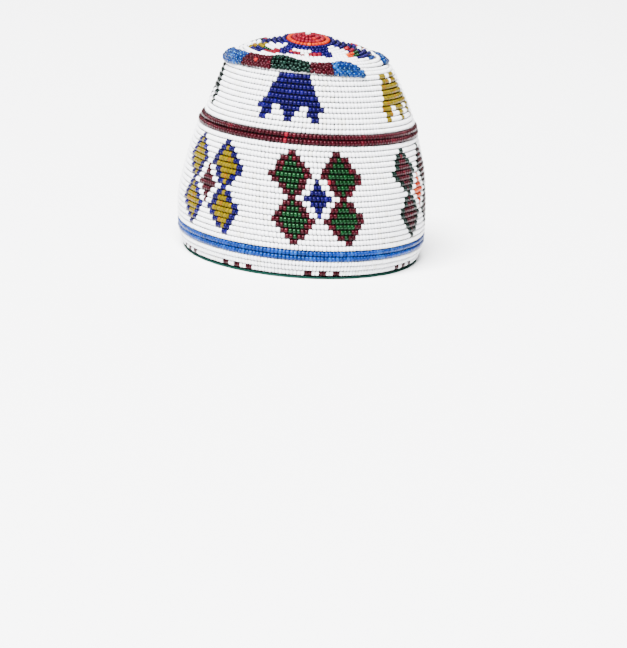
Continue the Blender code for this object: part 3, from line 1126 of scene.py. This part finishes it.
class HAT_OT_string_crown(bpy.types.Operator):
    """String the rings of beads of the crown, with its rosette"""

    bl_idname = "beaded_hat.string_crown"
    bl_label = "String Crown Rings"

    def execute(self, context):
        settings = context.scene.hat_beads
        random = np.random.default_rng(SEED + 1)
        strands = Strands()
        for number in range(1, CROWN_RINGS + 1):
            strands.add_row(*rosette_row(number), CROWN_BEAD_DIAMETER, CROWN_WOBBLE)
        show_beads("crown_top", "crown_top", strands, settings, random)
        return {"FINISHED"}


class HAT_OT_fill_crescents(bpy.types.Operator):
    """Lay rows of beads along the crescents on the crown's edge, in two layers"""

    bl_idname = "beaded_hat.fill_crescents"
    bl_label = "Fill Crescents"

    def execute(self, context):
        settings = context.scene.hat_beads
        random = np.random.default_rng(SEED + 2)
        for leaf in LEAVES:
            strands = Strands()
            for block in leaf.blocks:
                for layer in (0, 1):
                    self.lay_block(leaf, block, layer, strands)
            show_beads(leaf.name, leaf.name, strands, settings, random)
        return {"FINISHED"}

    def lay_block(self, leaf, block, layer, strands):
        """One layer of a block of a crescent; the layer under the first lies in its gaps."""
        size = LEAF_BEADS[block.glass]
        line = np.radians(np.linspace(block.start, block.end, LEAF_LINE_SAMPLES))
        paths, lengths = dome_paths(line)
        travelled = lengths_along(paths[CROWN_EDGE_LOOP])
        columns = max(round(travelled[-1] / size.length), 1)
        for column in range(columns):
            share = (column + 0.5 + layer * 0.5) / columns
            if share < 1.0:
                angle = np.interp(share * travelled[-1], travelled, line)
                edge = np.interp(angle, line, lengths[CROWN_EDGE_LOOP])
                self.lay_column(leaf, block, layer, strands, angle, edge)

    def lay_column(self, leaf, block, layer, strands, angle, edge):
        """The beads that lie side by side across a crescent at one angle."""
        size = LEAF_BEADS[block.glass]
        low, high, thickness = leaf_section(leaf, math.degrees(angle))
        across = np.linspace(0.0, 1.0, LEAF_ARC_SAMPLES)
        lift = GAP + thickness * np.sqrt(1 - (1 - LEAF_EDGE_SHARE ** 2) * (2 * across - 1) ** 2)
        arc_steps = np.hypot(np.diff(across) * (high - low), np.diff(lift))
        arc = np.concatenate([[0.0], np.cumsum(arc_steps)])
        rows = max(round(arc[-1] / size.spacing), 1)
        if layer and rows == 1:
            return
        stops = (np.arange(rows - layer) + 0.5 + layer * 0.5) / rows * arc[-1]
        places = np.interp(stops, arc, across)
        lifts = np.interp(stops, arc, lift) - BEAD_DIAMETER / 2 - layer * LEAF_UNDER_LAYER
        count = len(places)
        here, along, up, out = dome_frame(np.full(count, angle), edge + low + (high - low) * places)
        middles = here + out * np.maximum(lifts, LEAF_LOWEST_MIDDLE)[:, None]
        near_patch = LEAF_PATCH.start < math.degrees(angle) < LEAF_PATCH.end
        patched = near_patch & (LEAF_PATCH.inner < places) & (places < LEAF_PATCH.outer)
        glass = [LEAF_PATCH.glass if patch else block.glass for patch in patched]
        lengths = [size.length * LEAF_BEAD_SWELL] * count
        strands.add(middles, along, out, lengths, size.spacing * LEAF_BEAD_SWELL, size.wobble, glass)


class HAT_OT_set_centre_bead(bpy.types.Operator):
    """Set the single white bead at the middle of the rosette"""

    bl_idname = "beaded_hat.set_centre_bead"
    bl_label = "Set Centre Bead"

    def execute(self, context):
        settings = context.scene.hat_beads
        middle = crown_points(0.0, np.zeros(1)) - np.array([[0.0, 0.0, CENTRE_BEAD_SINK]])
        form = revolved(CENTRE_BEAD_OUTLINE, CENTRE_BEAD_SIDES)
        size = np.array([CENTRE_BEAD_DIAMETER])
        mesh = copies_mesh(
            "centre_white_bead", form, middle, np.array([[1.0, 0.0, 0.0]]), np.array([[0.0, 0.0, 1.0]]),
            size, size, np.zeros(1),
        )
        show_piece(mesh.name, mesh, glass_material("white", settings), "white_glass", "centre_bead")
        return {"FINISHED"}


class HAT_OT_run_threads(bpy.types.Operator):
    """Run threads between the rows and tie the rows together between every two beads; their near-black
    colour is painted shade in the grooves and at the corners between beads
    """

    bl_idname = "beaded_hat.run_threads"
    bl_label = "Run Threads"

    def execute(self, context):
        sewing = context.scene.hat_sewing
        rows = [wall_row(zone, row) for zone in ZONES for row in range(zone.first_row, zone.last_row + 1)]
        rows += [rosette_row(number) for number in range(CROWN_RINGS, 0, -1)]
        # Real thread, coloured near-black so that it also paints the shade in the gaps between beads
        material = thread_material("nylon_thread", sewing.thread_and_gap_shade_colour)
        between = [wall_ring(row + 0.5, -THREAD_IN) for row in range(1, WALL_ROWS)]
        between += [crown_ring(number + 0.5, -THREAD_IN) for number in range(1, CROWN_RINGS + 1)]
        mesh = row_threads(between, sewing.thread_width)
        mesh.name = "row_threads"
        mesh.shade_smooth()
        show_piece("row_threads", mesh, material, "thread")
        middles, alongs, outs = [], [], []
        for ring, beads in rows:
            points, along, out = ring.sample(np.array([bead.distance + bead.length / 2 for bead in beads]))
            middles.append(points + out * STITCH_OUT)
            alongs.append(np.cross(out, along))
            outs.append(-out)
        count = sum(len(points) for points in middles)
        mesh = copies_mesh(
            "tying_stitches", stitch_form(), np.concatenate(middles), np.concatenate(alongs),
            np.concatenate(outs), np.full(count, BEAD_DIAMETER), np.full(count, sewing.thread_width),
            np.zeros(count),
        )
        show_piece("tying_stitches", mesh, material, "thread")
        return {"FINISHED"}


class HAT_OT_sew_binding(bpy.types.Operator):
    """Fold the cloth edging under the lowest beads and stitch it down"""

    bl_idname = "beaded_hat.sew_binding"
    bl_label = "Sew Edging"

    def execute(self, context):
        sewing = context.scene.hat_sewing
        cloth = cloth_material("woven_edging", sewing.cloth_colour)
        show_piece("hem_binding_cloth", binding_mesh(), cloth, "green_cloth", "hem_binding")
        self.sew_stitches(sewing)
        return {"FINISHED"}

    def sew_stitches(self, sewing):
        """Small slanting stitches over the outer edge of the tape."""
        outs = unit(np.stack([np.sin(AROUND), -np.cos(AROUND), np.zeros_like(AROUND)], axis=-1))
        line = Ring(rim_points(BINDING_INSET, BINDING_HEIGHT / 2, AROUND), outs)
        count = round(line.length / sewing.stitch_spacing)
        middles, along, out = line.sample(np.arange(count) * line.length / count)
        upright = unit(np.array([[0.0, 0.0, 1.0]]) + along * EDGING_STITCH_SLANT)
        mesh = copies_mesh(
            "edging_stitches", stitch_form(), middles - out * sewing.thread_width * EDGING_STITCH_DEPTH,
            upright, out, np.full(count, BINDING_HEIGHT * EDGING_STITCH_LENGTH),
            np.full(count, sewing.thread_width * EDGING_STITCH_WIDTH), np.zeros(count),
        )
        thread = thread_material("green_thread", [part * EDGING_STITCH_TONE for part in sewing.cloth_colour])
        show_piece("edging_stitches", mesh, thread, "green_cloth")


class HAT_OT_set_stage(bpy.types.Operator):
    """Lay the floor, hang the lights and aim the camera"""

    bl_idname = "beaded_hat.set_stage"
    bl_label = "Set Stage"

    def execute(self, context):
        stage = context.scene.hat_stage
        self.lay_floor(context, stage)
        self.hang_lights(context, stage)
        self.aim_camera(context)
        return {"FINISHED"}

    def lay_floor(self, context, stage):
        """Plain pale floor under the hat."""
        form = bmesh.new()
        bmesh.ops.create_grid(form, x_segments=1, y_segments=1, size=stage.floor_size / 2)
        mesh = bpy.data.meshes.new("floor")
        form.to_mesh(mesh)
        form.free()
        material, tree, shader = new_material("pale_floor")
        shader.inputs["Base Color"].default_value = (*stage.floor_colour, 1.0)
        shader.inputs["Roughness"].default_value = FLOOR_ROUGHNESS
        mesh.materials.append(material)
        floor = bpy.data.objects.new("floor", mesh)
        context.scene.collection.objects.link(floor)

    def hang_lights(self, context, stage):
        """Even light from all round, and one large light above the front left."""
        world = bpy.data.worlds.new("even_light")
        world.use_nodes = True
        background = world.node_tree.nodes["Background"]
        background.inputs["Color"].default_value = (1.0, 1.0, 1.0, 1.0)
        background.inputs["Strength"].default_value = stage.sky_strength
        context.scene.world = world
        light = bpy.data.lights.new("key_light", "AREA")
        light.shape = "RECTANGLE"
        light.size, light.size_y = KEY_LIGHT_SIZE
        light.energy = stage.key_power
        lamp = bpy.data.objects.new("key_light", light)
        lamp.location = KEY_LIGHT_PLACE
        lamp.rotation_euler = (AIM_POINT - lamp.location).to_track_quat("-Z", "Y").to_euler()
        context.scene.collection.objects.link(lamp)

    def aim_camera(self, context):
        """Camera that looks down on the front, slightly rolled."""
        forward = Vector((0.0, math.cos(CAMERA_DOWN), -math.sin(CAMERA_DOWN)))
        level = Vector((1.0, 0.0, 0.0))
        rise = Vector((0.0, math.sin(CAMERA_DOWN), math.cos(CAMERA_DOWN)))
        right = level * math.cos(CAMERA_ROLL) - rise * math.sin(CAMERA_ROLL)
        up = level * math.sin(CAMERA_ROLL) + rise * math.cos(CAMERA_ROLL)
        focal_pixels = CAMERA_DISTANCE / PIXEL_SIZE
        across = (AIM_PIXEL[0] - PICTURE_WIDTH / 2) / focal_pixels
        down = (AIM_PIXEL[1] - PICTURE_HEIGHT / 2) / focal_pixels
        place = AIM_POINT - CAMERA_DISTANCE * (forward + right * across - up * down)
        lens = bpy.data.cameras.new("camera")
        lens.sensor_width = SENSOR_WIDTH
        lens.lens = focal_pixels / max(PICTURE_WIDTH, PICTURE_HEIGHT) * SENSOR_WIDTH
        camera = bpy.data.objects.new("camera", lens)
        camera.matrix_world = Matrix.Translation(place) @ Matrix((right, up, -forward)).transposed().to_4x4()
        context.scene.collection.objects.link(camera)
        bpy.context.scene.camera = camera


OPERATORS = (
    HAT_OT_sew_binding,
    HAT_OT_string_wall,
    HAT_OT_string_crown,
    HAT_OT_fill_crescents,
    HAT_OT_set_centre_bead,
    HAT_OT_run_threads,
    HAT_OT_set_stage,
)


class HAT_PT_panel(bpy.types.Panel):
    """Sizes, colours and steps of the beaded hat"""

    bl_idname = "HAT_PT_panel"
    bl_label = "Beaded Hat"
    bl_space_type = "VIEW_3D"
    bl_region_type = "UI"
    bl_category = "Beaded Hat"

    def draw(self, context):
        scene = context.scene
        groups = (("Beads", scene.hat_beads), ("Sewing", scene.hat_sewing), ("Stage", scene.hat_stage))
        for title, settings in groups:
            box = self.layout.box()
            box.label(text=title)
            for name in settings.bl_rna.properties.keys():
                if name not in ("rna_type", "name"):
                    box.prop(settings, name)
        for operator in OPERATORS:
            self.layout.operator(operator.bl_idname)


SETTINGS = {"hat_beads": BeadSettings, "hat_sewing": SewingSettings, "hat_stage": StageSettings}


def register():
    for made in (*SETTINGS.values(), *OPERATORS, HAT_PT_panel):
        bpy.utils.register_class(made)
    for name, settings in SETTINGS.items():
        setattr(bpy.types.Scene, name, PointerProperty(type=settings))


def unregister():
    for name in SETTINGS:
        delattr(bpy.types.Scene, name)
    for made in (HAT_PT_panel, *OPERATORS, *SETTINGS.values()):
        bpy.utils.unregister_class(made)


def main():
    register()
    bpy.ops.beaded_hat.sew_binding()
    bpy.ops.beaded_hat.string_wall()
    bpy.ops.beaded_hat.string_crown()
    bpy.ops.beaded_hat.fill_crescents()
    bpy.ops.beaded_hat.set_centre_bead()
    bpy.ops.beaded_hat.run_threads()
    bpy.ops.beaded_hat.set_stage()


if __name__ == "__main__":
    main()
